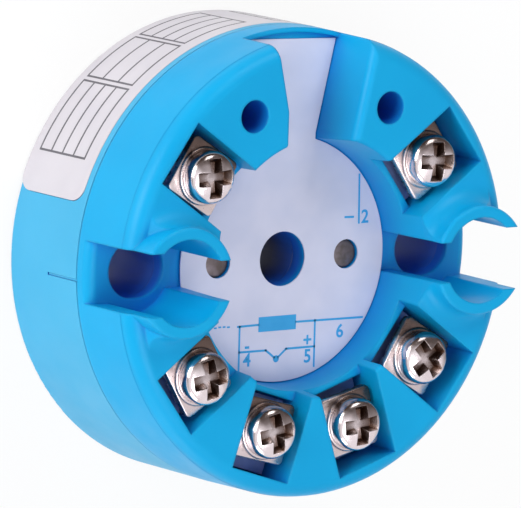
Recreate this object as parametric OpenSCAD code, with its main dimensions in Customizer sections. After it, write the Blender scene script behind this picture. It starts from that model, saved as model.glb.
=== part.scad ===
// Head-mounted temperature transmitter: a round moulded housing with six screw terminals,
// a centre bore for the sensor wires and two slotted ears for the fixing screws.
// Millimetres. Z is the body's axis and points out of the terminal face, X runs along the ears,
// and the origin is the centre of the rear face.

/* [Body] */
// Diameter of the round body
body_d = 44; // [43:0.5:48]
// Height of the rear cup, from the rear face to the seam
cup_h = 11.3; // [10.6:0.1:14]
// Height of the front plane above the seam
front_h = 8.2; // [7.8:0.1:10]
// How far the front housing's wall leans in between the seam and the front plane
front_draft = 0.15; // [0:0.05:0.5]
// Radius of the rounded front edge
front_edge_r = 1.5; // [0.5:0.1:2.2]
// Radius of the rounded rear edge
rear_edge_r = 0.6; // [0.2:0.1:1]
// Wall of the rear cup
cup_wall = 1.8; // [1.2:0.1:2]
// Floor of the rear cup
cup_floor = 1.8; // [1.2:0.1:2.2]
// Width of the fine groove that marks the seam
seam_groove_w = 0.2; // [0.1:0.05:0.3]
// Depth of the seam groove
seam_groove_d = 0.15; // [0.1:0.05:0.3]
// Width of the narrow relief slits below the seam
slit_w = 0.25; // [0.15:0.05:0.4]
// Length of the relief slits
slit_h = 4.8; // [2:0.1:6]
// Depth of the relief slits
slit_d = 0.5; // [0.2:0.1:0.8]
// Turn of the relief slits from the ear axis
slit_turn = 2.4; // [0:0.1:6]
// Diameter of the centre bore
bore_d = 5.2; // [4.4:0.1:6]
// Wall of the centre tube
tube_wall = 1.2; // [0.8:0.1:1.4]
// Height of the spigot that centres the front housing in the cup
spigot_h = 1.5; // [1:0.1:2]
// Wall of the spigot
spigot_wall = 1.2; // [0.8:0.1:1.6]

/* [Dish] */
// Depth of the label recess below the front plane
dish_depth = 6.3; // [5.6:0.1:6.6]
// Thickness of the sills between the terminal pockets and the recess, at the recess's floor
sill_t = 0.8; // [0.7:0.05:1.1]
// How far the recess's wall leans out between its floor and the front plane
dish_lean = 0.5; // [0.3:0.05:0.6]
// Rounding where the recess's wall meets the front plane
dish_edge_r = 0.4; // [0.2:0.1:0.8]
// Right half of the flap channel's width where it leaves the recess
flap_neck = 3.5; // [3.2:0.1:4.2]
// Left half of the flap channel's width where it leaves the recess
flap_neck_left = 4.2; // [3.6:0.1:4.4]
// Half width of the flap channel at the rim
flap_mouth = 5.8; // [5.4:0.1:6.2]
// Rounding of the flap channel's right top edge
flap_edge_r = 0.8; // [0.4:0.1:1]
// Height of the low lip that closes the flap channel at the rim
lip_h = 0.5; // [0.3:0.1:1.2]
// Width of the low lip
lip_w = 0.5; // [0.5:0.1:1.2]

/* [Ears] */
// Distance of the fixing slots' axes from the rim, which sets them 33 mm apart
ear_rim = 5.5; // [5.2:0.1:5.6]
// Width of the fixing slots
slot_w = 5.4; // [4.6:0.1:5.8]
// End-to-end length of the fixing slots
slot_l = 6.2; // [6:0.1:6.6]
// Wall of the tubes that carry the slots through the cup
slot_wall = 1; // [0.7:0.1:1.1]
// Depth of the ear floor below the label recess
ear_step = 0.2; // [0.1:0.1:0.5]
// Radius of the well for the fixing screw's head
well_r = 4.1; // [3.8:0.1:4.2]
// How far the well's axis sits outside the slot's axis
well_shift = 0.4; // [0.2:0.1:0.5]
// Half width of the well's mouth at the rim
mouth_half = 2.95; // [2.8:0.05:3.3]
// Half width of the well's opening towards the recess
throat_half = 1.9; // [1.5:0.1:2.2]
// Height of the horns above the front plane
horn_h = 2.6; // [1.6:0.1:3]
// Thickness of the horns at their crest
horn_t = 1.1; // [0.8:0.1:1.3]
// Radius of the hollow flare at the foot of the horns
horn_flare = 1.8; // [1:0.1:2.4]
// Rounding of the horns' crest
horn_edge_r = 0.3; // [0.1:0.05:0.4]
// Rounding of the ear floor at the rim
ear_edge_r = 1; // [0.4:0.1:1.4]

/* [Terminals] */
// Distance of the terminal screws from the rim
terminal_rim = 6; // [5.9:0.05:6.1]
// Width of the terminal pockets
pocket_w = 6.7; // [6.6:0.1:6.9]
// Reach of the pockets from the screw towards the recess
pocket_in = 3.4; // [3.3:0.05:3.45]
// Reach of the pockets from the screw towards the rim
pocket_out = 4.2; // [4.1:0.05:4.4]
// Depth of the pockets below the front plane
pocket_depth = 5; // [4.8:0.1:5.2]
// Height of the sill between each pocket's floor and its opening to the recess
sill_h = 2.2; // [1.8:0.1:3]
// Thickness of the terminal base plates
base_t = 1; // [0.8:0.1:1.2]
// Radius of the threaded boss under each base plate
boss_r = 2.3; // [2:0.1:2.4]
// Length of the threaded boss
boss_h = 2.4; // [1.8:0.1:2.6]
// Width of the solder tails
tail_w = 1.5; // [1:0.1:1.8]
// Thickness of the solder tails
tail_t = 0.6; // [0.4:0.1:0.7]
// Distance of the solder tails from the screw axis
tail_offset = 2.8; // [2.75:0.05:2.9]
// Length of the solder tails below the circuit board
tail_below = 0.6; // [0.3:0.1:1]
// Side play of the square clamp plates in their pockets
clamp_play = 0.45; // [0.4:0.05:0.6]
// Thickness of the clamp plates
clamp_t = 0.9; // [0.7:0.1:1.1]
// Corner radius of the clamp plates
clamp_corner_r = 0.5; // [0.2:0.1:0.8]
// Radius of the raised collar on the clamp plates
collar_r = 2.75; // [2.2:0.05:2.8]
// Height of the raised collar
collar_h = 0.3; // [0.2:0.05:0.4]
// Width of the wire grooves under the clamp plates
grip_w = 0.5; // [0.3:0.05:0.6]
// Depth of the wire grooves
grip_d = 0.25; // [0.15:0.05:0.3]

/* [Screws] */
// Diameter of the terminal screws' thread
screw_d = 3; // [2.5:0.1:3]
// Length of the screws below the head
screw_l = 5.6; // [5.4:0.1:6]
// Diameter of the screw heads
head_d = 5; // [4.6:0.1:5.2]
// Height of the screw heads
head_h = 2; // [1.8:0.1:2.2]
// Height of the dome on the screw heads
head_dome_h = 0.9; // [0.5:0.1:1]
// Length of the cross recess
cross_l = 3.2; // [2.4:0.1:3.4]
// Width of the arms of the cross recess
cross_w = 0.8; // [0.6:0.1:0.9]
// Depth of the cross recess
cross_d = 1.2; // [0.8:0.1:1.4]

/* [Labels] */
// Thickness of the printed films
film_t = 0.12; // [0.1:0.01:0.2]
// Radius of the holes in the face label over the contact studs
stud_window_r = 1.4; // [1.35:0.05:1.6]
// Distance of the side label's ends from the ear axis
side_label_end = 6.2; // [4.8:0.1:10]
// Height of the side label's lower edge above the rear face
side_label_foot = 0.8; // [0.7:0.1:1.2]
// Distance of the side label's upper edge from the seam
side_label_head = 0.9; // [0.6:0.1:2]
// Corner radius of the side label
side_label_corner_r = 1.6; // [0.8:0.1:2]

/* [Contacts] */
// Sideways place of the test jacks
jack_x = 7.8; // [7.7:0.1:8]
// How far the test jacks sit to the left of their nominal places
jack_shift = 0.3; // [0:0.1:0.4]
// Distance of the test jacks from the rim, along the flap's direction
jack_rim = 7.3; // [7:0.1:7.5]
// Diameter of the test holes in the front housing
jack_hole_d = 3.1; // [3:0.1:3.4]
// Diameter of the test plug that the jacks take
jack_plug_d = 2; // [1.8:0.1:2]
// Depth of the jacks' bore
jack_bore_h = 4; // [3:0.1:4]
// Height of the jacks above the circuit board
jack_h = 4.8; // [4.2:0.1:5]
// How far the contact studs sit outside the middle between the bore and the recess's wall
stud_shift = 0.2; // [0:0.1:0.4]
// Radius of the contact studs
stud_r = 1.3; // [1:0.05:1.3]
// Depth of the studs' tops below the face label
stud_drop = 0.4; // [0.2:0.1:0.6]

/* [Electronics] */
// Height of the circuit board's underside above the cup's floor
board_lift = 4.5; // [4.3:0.1:4.7]
// Thickness of the circuit board
board_t = 1.6; // [1:0.1:1.6]
// Width of the ledge that carries the circuit board
ledge_w = 0.8; // [0.6:0.1:1]
// Length of the isolating transformer
transformer_l = 9.6; // [8:0.1:10]
// Room between the isolating transformer and the solder tails
transformer_gap = 0.5; // [0.3:0.1:1]
// Height of the isolating transformer
transformer_h = 3.8; // [3:0.1:4]
// Side of the microcontroller
micro_side = 7; // [5:0.1:7]
// Length of the converter and isolator packages
chip_l = 5; // [4:0.1:5.2]
// Width of the converter and isolator packages
chip_w = 4.4; // [3.6:0.1:4.4]
// Height of the chips
chip_h = 1.2; // [0.8:0.1:1.6]
// Length of the tantalum capacitors
cap_l = 3.5; // [3:0.1:3.8]
// Width of the tantalum capacitors
cap_w = 2.8; // [2.4:0.1:3]
// Height of the tantalum capacitors
cap_h = 1.9; // [1.5:0.1:2.1]
// Diameter of the inductor
inductor_d = 5; // [4:0.1:5.4]
// Height of the inductor
inductor_h = 2.8; // [2:0.1:3.2]
// Gap between parts on the circuit board
part_gap = 0.3; // [0.2:0.1:0.5]
// Length of the crystal
crystal_l = 3.2; // [2.5:0.1:3.4]

/* [Hidden] */

// Angle of each terminal about the axis, from terminal 1 to terminal 6
terminal_angles = [144.4, 35.6, 216.5, 252, 288, 323.5];
// Gap between each clamp plate and its base plate, as it was left
clamp_gaps = [2, 1.4, 2, 1.8, 1.7, 1.3];
// Turn of each clamp plate in its pocket, from play
clamp_yaws = [3, -2, -6, 3, -4, 5];
// Turn of each screw's cross recess
cross_turns = [38, 52, 30, 64, 20, 12];

// Radial play between pieces of one assembly
play = 0.1;
// Side play round plates in their pockets
plate_play = 0.2;
// Radial running clearance of the screws in their threads
thread_play = 0.05;
// Play under the screw heads
head_play = 0.05;
// Bond line under the films
bond = 0.03;
// How far every cut runs past the face that it opens
overrun = 0.5;
$fn = 96;

body_r = body_d / 2;
bore_r = bore_d / 2;
cup_in_r = body_r - cup_wall;
tube_r = bore_r + tube_wall;
seam_z = cup_h;
front_z = seam_z + front_h;
crest_z = front_z + horn_h;
recess_z = front_z - dish_depth;
ear_floor_z = recess_z - ear_step;
pocket_z = front_z - pocket_depth;
base_top_z = pocket_z + base_t;
board_z = cup_floor + board_lift;
board_top_z = board_z + board_t;
board_r = cup_in_r - play;
front_r = body_r - front_draft;
ear_x = body_r - ear_rim;
well_x = ear_x + well_shift;
slot_r = slot_w / 2;
slot_half = slot_l / 2 - slot_r;
crest_r = well_r + horn_t;
terminal_r = body_r - terminal_rim;
dish_floor_r = terminal_r - pocket_in - sill_t;
dish_top_r = dish_floor_r + dish_lean;
clamp_side = pocket_w - 2 * clamp_play;
stud_x = (bore_r + dish_floor_r) / 2 + stud_shift;
ledge_r = tube_r + ledge_w;
tail_in_r = terminal_r - tail_offset - tail_t / 2;
label_r = dish_floor_r - play;
label_end_r = body_r - lip_w - play;
screw_r = screw_d / 2;
head_r = head_d / 2;
head_dome_r = (head_r * head_r + head_dome_h * head_dome_h) / (2 * head_dome_h);
jack_hole_r = jack_hole_d / 2;
jack_r = jack_hole_r - play;
jack_y = body_r - jack_rim;
jack_bore_r = jack_plug_d / 2 + thread_play;
side_label_seat = film_t + bond;
side_label_w = cup_h - side_label_foot - side_label_head;

// Cutter for rounding a corner at the origin, with the solid below and to the left. With a bite, its
// arc crosses the corner's sides instead of only touching them
module corner_round(r, bite = 0) {
    translate([bite - r, bite - r])
        difference() {
            square(r + overrun);
            circle(r);
        }
}

// Cutter for rounding the recess's edge, between its wall and the front plane
module dish_edge_cut() {
    slope = atan2(dish_depth, dish_top_r - dish_floor_r);
    reach = dish_edge_r / tan((180 - slope) / 2);
    translate([dish_top_r, front_z])
        difference() {
            polygon([
                [0, 0],
                [0, overrun],
                [reach, overrun],
                [reach, -dish_edge_r],
                [-reach * cos(slope), -reach * sin(slope)]
            ]);
            translate([reach, -dish_edge_r]) circle(dish_edge_r);
        }
}

// Outline of a slot along X, centred on the origin
module slot_outline(r, half) {
    translate([-half, 0]) circle(r);
    translate([half, 0]) circle(r);
    translate([-half, -r]) square([2 * half, 2 * r]);
}

// Puts children at both ears, at a distance from the body's axis
module at_ears(x = ear_x) {
    for (side = [0, 1]) mirror([side, 0, 0]) translate([x, 0, 0]) children();
}

// Puts children at a terminal's screw axis, with X pointing to the rim
module at_terminal(k) {
    rotate([0, 0, terminal_angles[k - 1]]) translate([terminal_r, 0, 0]) children();
}

// Round-cornered bar on the XY plane, centred on the origin
module rounded_plate(l, w, h, r) {
    linear_extrude(h) {
        square([l - 2 * r, w], center = true);
        square([l, w - 2 * r], center = true);
        for (x = [-1, 1], y = [-1, 1])
            translate([x * (l / 2 - r), y * (w / 2 - r)]) circle(r);
    }
}

// Outline of the flap channel, from the recess's middle to past the rim
module flap_outline(inset) {
    widening = (flap_mouth - flap_neck) / (body_r - dish_floor_r);
    left_bend = dish_floor_r + (flap_neck_left - flap_neck) / widening;
    mouth = flap_mouth - inset + widening * overrun;
    end = body_r + overrun;
    polygon([
        [inset - flap_neck_left, 0],
        [flap_neck - inset, 0],
        [flap_neck - inset, dish_floor_r],
        [mouth, end],
        [-mouth, end],
        [inset - flap_neck_left, left_bend]
    ]);
}

// Band round the barrel over the side label's arc, with rounded corners
module side_band(r_in, r_out, margin) {
    end = asin((side_label_end - margin) / body_r);
    corner = side_label_corner_r;
    far = 2 * body_r;
    difference() {
        translate([0, 0, side_label_foot - margin])
            difference() {
                cylinder(h = side_label_w + 2 * margin, r = r_out);
                translate([0, 0, -overrun])
                    cylinder(h = side_label_w + 2 * margin + 2 * overrun, r = r_in);
                translate([0, 0, -overrun])
                    linear_extrude(side_label_w + 2 * margin + 2 * overrun)
                        polygon([
                            [0, 0],
                            [far * cos(end), far * sin(end)],
                            [far, -far],
                            [-far, -far],
                            [-far * cos(end), far * sin(end)]
                        ]);
            }
        for (side = [0, 1], up = [0, 1])
            mirror([side, 0, 0])
                rotate([0, 0, end])
                    translate([body_r, 0, side_label_foot + side_label_w / 2])
                        mirror([0, 0, up])
                            translate([overrun, 0, -side_label_w / 2 - margin])
                                rotate([0, -90, 0])
                                    linear_extrude(2 * overrun + side_label_seat)
                                        rotate([0, 0, 180]) corner_round(corner, bond);
    }
}

// Rear cup: the barrel's back half, with its floor, tubes and board ledge
module rear_cup() {
    color("deepskyblue")
        difference() {
            union() {
                rotate_extrude()
                    difference() {
                        square([body_r, seam_z]);
                        translate([body_r, 0]) mirror([0, 1]) corner_round(rear_edge_r);
                        translate([body_r, seam_z])
                            square(2 * [seam_groove_d, seam_groove_w / 2], center = true);
                        translate([tube_r, cup_floor])
                            square([cup_in_r - tube_r, seam_z - cup_floor + overrun]);
                    }
                translate([0, 0, cup_floor])
                    cylinder(h = board_lift, r = ledge_r);
                translate([0, 0, cup_floor])
                    difference() {
                        cylinder(h = board_lift, r = cup_in_r + seam_groove_d);
                        translate([0, 0, -overrun])
                            cylinder(h = board_lift + 2 * overrun, r = cup_in_r - ledge_w);
                    }
                intersection() {
                    at_ears()
                        linear_extrude(seam_z) slot_outline(slot_r + slot_wall, slot_half);
                    translate([0, 0, cup_floor])
                        cylinder(h = seam_z, r = cup_in_r + seam_groove_d);
                }
            }
            translate([0, 0, -overrun]) cylinder(h = seam_z + 2 * overrun, r = bore_r);
            at_ears()
                translate([0, 0, -overrun])
                    linear_extrude(seam_z + 2 * overrun) slot_outline(slot_r, slot_half);
            side_band(body_r - side_label_seat, body_r + overrun, bond);
            for (side = [0, 180])
                rotate([0, 0, slit_turn + side])
                    translate([body_r - slit_d, -slit_w / 2, seam_z - slit_h])
                        cube([slit_d + overrun, slit_w, slit_h + overrun]);
        }
}

// Solid of the horns, before the wells are cut: their walls reach the rim, and the flare at their foot
// leans back with the front edge
module horn_mass() {
    foot_z = front_z - front_edge_r;
    flare_r = crest_r + horn_flare;
    flare_h = front_edge_r + horn_flare;
    intersection() {
        at_ears(well_x)
            translate([0, 0, foot_z])
                rotate_extrude()
                    difference() {
                        square([crest_r, crest_z - foot_z]);
                        translate([crest_r, crest_z - foot_z]) corner_round(horn_edge_r);
                    }
        rotate_extrude()
            translate([dish_top_r, foot_z]) square([front_r - dish_top_r, crest_z - foot_z]);
    }
    intersection() {
        at_ears(well_x)
            translate([0, 0, foot_z])
                rotate_extrude()
                    difference() {
                        square([flare_r, flare_h]);
                        translate([flare_r, flare_h]) circle(horn_flare);
                    }
        rotate_extrude()
            translate([0, foot_z])
                polygon([
                    [dish_top_r, 0],
                    [front_r, 0],
                    [front_r - flare_h, flare_h],
                    [dish_top_r, flare_h]
                ]);
    }
}

// Well, mouth and throat of an ear, cut down to the ear floor
module ear_well() {
    depth = crest_z - ear_floor_z + overrun;
    translate([0, 0, ear_floor_z]) {
        cylinder(h = depth, r = well_r);
        translate([0, -mouth_half, 0]) cube([body_r, 2 * mouth_half, depth]);
        translate([dish_floor_r - well_x - overrun, -throat_half, 0])
            cube([well_x - dish_floor_r + overrun, 2 * throat_half, depth]);
    }
}

// Rounded outer edge of the ear floor
module ear_lip_cut() {
    intersection() {
        rotate_extrude() translate([body_r, ear_floor_z]) corner_round(ear_edge_r);
        for (side = [0, 1])
            mirror([side, 0, 0])
                translate([0, -mouth_half, ear_floor_z - body_r / 2])
                    cube([body_d, 2 * mouth_half, body_r]);
    }
}

// Cutter for rounding the flap channel's right top edge, from the recess to the rim
module flap_edge_cut() {
    lean = atan2(flap_mouth - flap_neck, body_r - dish_floor_r);
    translate([flap_neck, dish_floor_r, front_z])
        rotate([0, 0, -lean])
            translate([0, body_r, 0])
                rotate([90, 0, 0])
                    linear_extrude(body_r + dish_floor_r / 2)
                        mirror([1, 0]) corner_round(flap_edge_r);
}

// Channel that the label's flap lies in
module flap_channel() {
    translate([0, 0, recess_z])
        linear_extrude(dish_depth + horn_h)
            intersection() {
                flap_outline(0);
                circle(body_r - lip_w);
            }
    translate([0, 0, recess_z + lip_h])
        linear_extrude(dish_depth + horn_h) flap_outline(0);
    flap_edge_cut();
}

// Pocket of one terminal, open to the recess above its sill, with the keyhole for its boss and tail
module terminal_pocket(k) {
    hole_h = pocket_z - seam_z + 2 * overrun;
    reach = terminal_r - dish_floor_r + overrun;
    at_terminal(k) {
        translate([-pocket_in, -pocket_w / 2, pocket_z])
            cube([pocket_in + pocket_out, pocket_w, pocket_depth + horn_h]);
        translate([-reach, -pocket_w / 2, pocket_z + sill_h])
            cube([reach, pocket_w, pocket_depth + horn_h]);
        translate([0, 0, seam_z - overrun]) cylinder(h = hole_h, r = boss_r + play);
        translate([-tail_offset - tail_t / 2 - play, -tail_w / 2 - play, seam_z - overrun])
            cube([tail_offset + tail_t / 2 + play, tail_w + 2 * play, hole_h]);
    }
}

// Front housing: terminal face, ears with horns, pockets and the label recess
module front_housing() {
    color("dodgerblue")
        difference() {
            union() {
                rotate_extrude()
                    difference() {
                        polygon([[0, seam_z], [body_r, seam_z], [front_r, front_z], [0, front_z]]);
                        translate([front_r, front_z]) corner_round(front_edge_r);
                        polygon([
                            [0, recess_z],
                            [dish_floor_r, recess_z],
                            [dish_top_r, front_z],
                            [dish_top_r, front_z + overrun],
                            [0, front_z + overrun]
                        ]);
                        dish_edge_cut();
                    }
                horn_mass();
                translate([0, 0, seam_z - spigot_h])
                    difference() {
                        cylinder(h = spigot_h + overrun, r = cup_in_r - play);
                        translate([0, 0, -overrun])
                            cylinder(
                                h = spigot_h + overrun,
                                r = cup_in_r - play - spigot_wall
                            );
                        at_ears()
                            translate([0, 0, -overrun])
                                linear_extrude(spigot_h + overrun)
                                    slot_outline(slot_r + slot_wall + play, slot_half);
                    }
            }
            flap_channel();
            at_ears(well_x) ear_well();
            ear_lip_cut();
            for (k = [1:6]) terminal_pocket(k);
            translate([0, 0, seam_z - overrun])
                cylinder(h = front_h + 2 * overrun, r = bore_r);
            at_ears()
                translate([0, 0, seam_z - overrun])
                    linear_extrude(front_h) slot_outline(slot_r, slot_half);
            for (side = [-1, 1]) {
                translate([side * jack_x - jack_shift, jack_y, seam_z - overrun])
                    cylinder(h = front_h + 2 * overrun, r = jack_hole_r);
                translate([side * stud_x, 0, seam_z - overrun])
                    cylinder(h = front_h, r = stud_r + play);
            }
        }
}

// Printed film in the recess and its flap
module face_label() {
    color("lavender")
        translate([0, 0, recess_z + bond])
            linear_extrude(film_t)
                difference() {
                    union() {
                        circle(label_r);
                        intersection() {
                            circle(label_end_r);
                            flap_outline(play);
                        }
                    }
                    circle(bore_r);
                    for (side = [-1, 1]) translate([side * stud_x, 0]) circle(stud_window_r);
                }
}

// White film round the top of the barrel
module side_label() {
    color("white") side_band(body_r - film_t, body_r, 0);
}

// Base plate of a terminal, with its threaded boss and solder tail
module terminal_base(k) {
    length = pocket_in + pocket_out - 2 * plate_play;
    color("silver")
        at_terminal(k)
            difference() {
                union() {
                    translate([-pocket_in + plate_play, -pocket_w / 2 + plate_play, pocket_z])
                        cube([length, pocket_w - 2 * plate_play, base_t]);
                    translate([0, 0, pocket_z - boss_h])
                        cylinder(h = boss_h + base_t / 2, r = boss_r);
                    translate([-tail_offset - tail_t / 2, -tail_w / 2, board_z - tail_below])
                        cube([tail_t, tail_w, pocket_z + base_t / 2 - board_z + tail_below]);
                }
                translate([0, 0, pocket_z - boss_h - overrun])
                    cylinder(h = boss_h + base_t + 2 * overrun, r = screw_r + thread_play);
            }
}

// Square clamp plate with its raised collar and wire grooves
module clamp_plate(k) {
    foot_z = base_top_z + clamp_gaps[k - 1];
    color("gainsboro")
        at_terminal(k)
            rotate([0, 0, clamp_yaws[k - 1]])
                translate([0, 0, foot_z])
                    difference() {
                        union() {
                            rounded_plate(clamp_side, clamp_side, clamp_t, clamp_corner_r);
                            cylinder(h = clamp_t + collar_h, r = collar_r);
                        }
                        translate([0, 0, -overrun])
                            cylinder(
                                h = clamp_t + collar_h + 2 * overrun,
                                r = screw_r + 2 * thread_play
                            );
                        for (y = [-1, 0, 1])
                            translate([
                                -clamp_side / 2 - overrun,
                                y * clamp_side / 4 - grip_w / 2,
                                -overrun
                            ])
                                cube([clamp_side + 2 * overrun, grip_w, grip_d + overrun]);
                    }
}

// Pan-head screw with a cross recess
module terminal_screw(k) {
    seat_z = base_top_z + clamp_gaps[k - 1] + clamp_t + collar_h + head_play;
    color("whitesmoke")
        at_terminal(k)
            translate([0, 0, seat_z])
                difference() {
                    union() {
                        rotate_extrude()
                            intersection() {
                                square([head_r, head_h]);
                                translate([0, head_h - head_dome_r]) circle(head_dome_r);
                            }
                        translate([0, 0, -screw_l]) cylinder(h = screw_l + head_h / 4, r = screw_r);
                    }
                    for (turn = [0, 90])
                        rotate([0, 0, cross_turns[k - 1] + turn])
                            translate([-cross_l / 2, -cross_w / 2, head_h - cross_d])
                                cube([cross_l, cross_w, cross_d + overrun]);
                }
}

// Metal sleeve at the bottom of a test hole, for a test plug
module test_jack(side) {
    color("goldenrod")
        translate([side * jack_x - jack_shift, jack_y, board_top_z])
            difference() {
                cylinder(h = jack_h, r = jack_r);
                translate([0, 0, jack_h - jack_bore_h])
                    cylinder(h = jack_bore_h + overrun, r = jack_bore_r);
            }
}

// Flat-topped metal contact under a window of the face label
module contact_stud(side) {
    color("gray")
        translate([side * stud_x, 0, board_top_z])
            cylinder(h = recess_z - stud_drop - board_top_z, r = stud_r);
}

// Round circuit board, notched for the slot tubes
module circuit_board() {
    color("darkgreen")
        translate([0, 0, board_z])
            difference() {
                cylinder(h = board_t, r = board_r);
                translate([0, 0, -overrun]) {
                    cylinder(h = board_t + 2 * overrun, r = tube_r + play);
                    at_ears()
                        linear_extrude(board_t + 2 * overrun) {
                            slot_outline(slot_r + slot_wall + play, slot_half);
                            translate([0, -slot_r - slot_wall - play])
                                square([body_r, 2 * (slot_r + slot_wall + play)]);
                        }
                    for (k = [1:6])
                        at_terminal(k)
                            translate([-tail_offset - tail_t / 2 - play, -tail_w / 2 - play, 0])
                                cube([tail_t + 2 * play, tail_w + 2 * play, board_t + 2 * overrun]);
                }
            }
}

// Box-shaped part on the top or under the board
module on_board(x, y, l, w, h) {
    translate([x - l / 2, y - w / 2, board_top_z]) cube([l, w, h]);
}

module under_board(x, y, l, w, h) {
    translate([x - l / 2, y - w / 2, board_z - h]) cube([l, w, h]);
}

// Small transformer between the input and the output
module isolating_transformer() {
    lean = terminal_angles[4] - 270;
    room_in = ledge_r + play;
    room = tail_in_r * cos(lean) - tail_w / 2 * sin(lean) - transformer_gap - room_in;
    color("dimgray")
        under_board(0, -room_in - room / 2, transformer_l, room, transformer_h);
}

module microcontroller() {
    color("black")
        on_board(0, tube_r + play + micro_side / 2 + chip_h, micro_side, micro_side, chip_h);
}

module chip(side) {
    color("black")
        on_board(
            side * (crystal_l / 2 + part_gap + chip_l / 2), -tube_r - part_gap - chip_w / 2,
            chip_l, chip_w, chip_h
        );
}

module signal_converter() {
    chip(-1);
}

module output_isolator() {
    chip(1);
}

// Four tantalum capacitors under the board
module tantalum_capacitors() {
    color("orange")
        for (side = [-1, 1], row = [0, 1])
            under_board(
                side * (inductor_d / 2 + part_gap + cap_w / 2),
                ledge_r + play + cap_l / 2 + row * (cap_l + part_gap),
                cap_w, cap_l, cap_h
            );
}

// Round inductor under the board
module power_inductor() {
    color("saddlebrown")
        translate([0, ledge_r + play + inductor_d / 2, board_z - inductor_h])
            cylinder(h = inductor_h, r = inductor_d / 2);
}

module crystal() {
    color("silver")
        on_board(0, -tube_r - play - crystal_l, crystal_l, crystal_l / 2, chip_h);
}

rear_cup();
front_housing();
face_label();
side_label();
terminal_base(1);  // terminal_base_1
terminal_base(2);  // terminal_base_2
terminal_base(3);  // terminal_base_3
terminal_base(4);  // terminal_base_4
terminal_base(5);  // terminal_base_5
terminal_base(6);  // terminal_base_6
clamp_plate(1);  // clamp_plate_1
clamp_plate(2);  // clamp_plate_2
clamp_plate(3);  // clamp_plate_3
clamp_plate(4);  // clamp_plate_4
clamp_plate(5);  // clamp_plate_5
clamp_plate(6);  // clamp_plate_6
terminal_screw(1);  // terminal_screw_1
terminal_screw(2);  // terminal_screw_2
terminal_screw(3);  // terminal_screw_3
terminal_screw(4);  // terminal_screw_4
terminal_screw(5);  // terminal_screw_5
terminal_screw(6);  // terminal_screw_6
test_jack(-1);  // test_jack_left
test_jack(1);  // test_jack_right
contact_stud(-1);  // contact_stud_left
contact_stud(1);  // contact_stud_right
circuit_board();
isolating_transformer();
microcontroller();
signal_converter();
output_isolator();
tantalum_capacitors();
power_inductor();
crystal();
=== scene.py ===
import logging
import math
from dataclasses import dataclass
from enum import Enum
from functools import cache
from typing import Any

import bmesh
import bpy
from mathutils import Matrix, Vector


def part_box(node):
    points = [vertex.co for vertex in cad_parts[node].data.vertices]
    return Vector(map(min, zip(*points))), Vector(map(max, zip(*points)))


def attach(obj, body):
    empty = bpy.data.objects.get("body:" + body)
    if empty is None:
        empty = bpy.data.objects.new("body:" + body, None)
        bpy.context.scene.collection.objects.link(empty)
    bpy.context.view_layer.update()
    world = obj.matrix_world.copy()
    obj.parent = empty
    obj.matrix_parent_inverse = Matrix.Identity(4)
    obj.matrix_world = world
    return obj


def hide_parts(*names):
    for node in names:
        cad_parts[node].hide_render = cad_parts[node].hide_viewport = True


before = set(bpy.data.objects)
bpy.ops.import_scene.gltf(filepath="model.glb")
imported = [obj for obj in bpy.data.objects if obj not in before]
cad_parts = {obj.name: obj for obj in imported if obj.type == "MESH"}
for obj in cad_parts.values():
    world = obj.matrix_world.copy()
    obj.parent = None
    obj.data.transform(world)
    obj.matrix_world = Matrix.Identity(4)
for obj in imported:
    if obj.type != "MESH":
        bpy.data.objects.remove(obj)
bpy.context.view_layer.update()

LOG = logging.getLogger("transmitter")
MM = 0.001
TURN = 2 * math.pi
# The CAD body that carries all that is fixed
HOUSING = "housing"
TERMINALS = range(1, 7)
# Mesh attribute for the brown reflection painted on bright metal's side away from the light
FAR_MARK = "far_side"
FAR_DIRECTION = Vector((0.35, 0.94, 0.0))
# Setting of a mix node that blends colours
COLOURS = {"data_type": "RGBA"}
WHITE = (1, 1, 1, 1)
# Nearly all values of a noise pattern lie between these two
NOISE_LOW = 0.35
NOISE_HIGH = 0.65
EDGE_SAMPLES = 6
HOLLOW_SAMPLES = 10
# Corners this near each other, in mm, become one: in closed shapes, and in wound or thin ones
WELD = 1e-5
LOOSE_WELD = 1e-4
# Corners this near a plane, in mm, lie on it
ON_PLANE = 1e-6
# Short names of types
Tree = bpy.types.NodeTree
Source = bpy.types.Node | bpy.types.NodeSocket
Layers = list[tuple[Source, str]]
Shape = bmesh.types.BMesh
Mesh = bpy.types.Mesh


class Kind(Enum):
    """The shader nodes that materials are built from, without the prefix that all have."""

    PRINCIPLED = "BsdfPrincipled"
    EMISSION = "Emission"
    MIX_SHADER = "MixShader"
    LIGHT_PATH = "LightPath"
    BACKGROUND = "Background"
    MATERIAL_OUTPUT = "OutputMaterial"
    WORLD_OUTPUT = "OutputWorld"
    COORDINATES = "TexCoord"
    MAPPING = "Mapping"
    NOISE = "TexNoise"
    VORONOI = "TexVoronoi"
    RAMP = "ValToRGB"
    MIX = "Mix"
    RANGE = "MapRange"
    MATH = "Math"
    SEPARATE = "SeparateXYZ"
    BUMP = "Bump"
    BEVEL = "Bevel"
    OCCLUSION = "AmbientOcclusion"
    VECTOR_MATH = "VectorMath"
    ATTRIBUTE = "Attribute"


class Join(Enum):
    """How two closed shapes are put together."""

    ADD = "UNION"
    CUT = "DIFFERENCE"


def linear(code: str) -> tuple[float, float, float, float]:
    """Turns an sRGB hex colour into Blender's linear colour.

    Args:
        code: The colour, such as "#189BDC".

    Returns:
        Red, green, blue and an alpha of 1.
    """
    parts = [int(code[i : i + 2], 16) / 255 for i in (1, 3, 5)]
    red, green, blue = (c / 12.92 if c <= 0.04045 else ((c + 0.055) / 1.055) ** 2.4 for c in parts)
    return red, green, blue, 1.0


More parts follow.
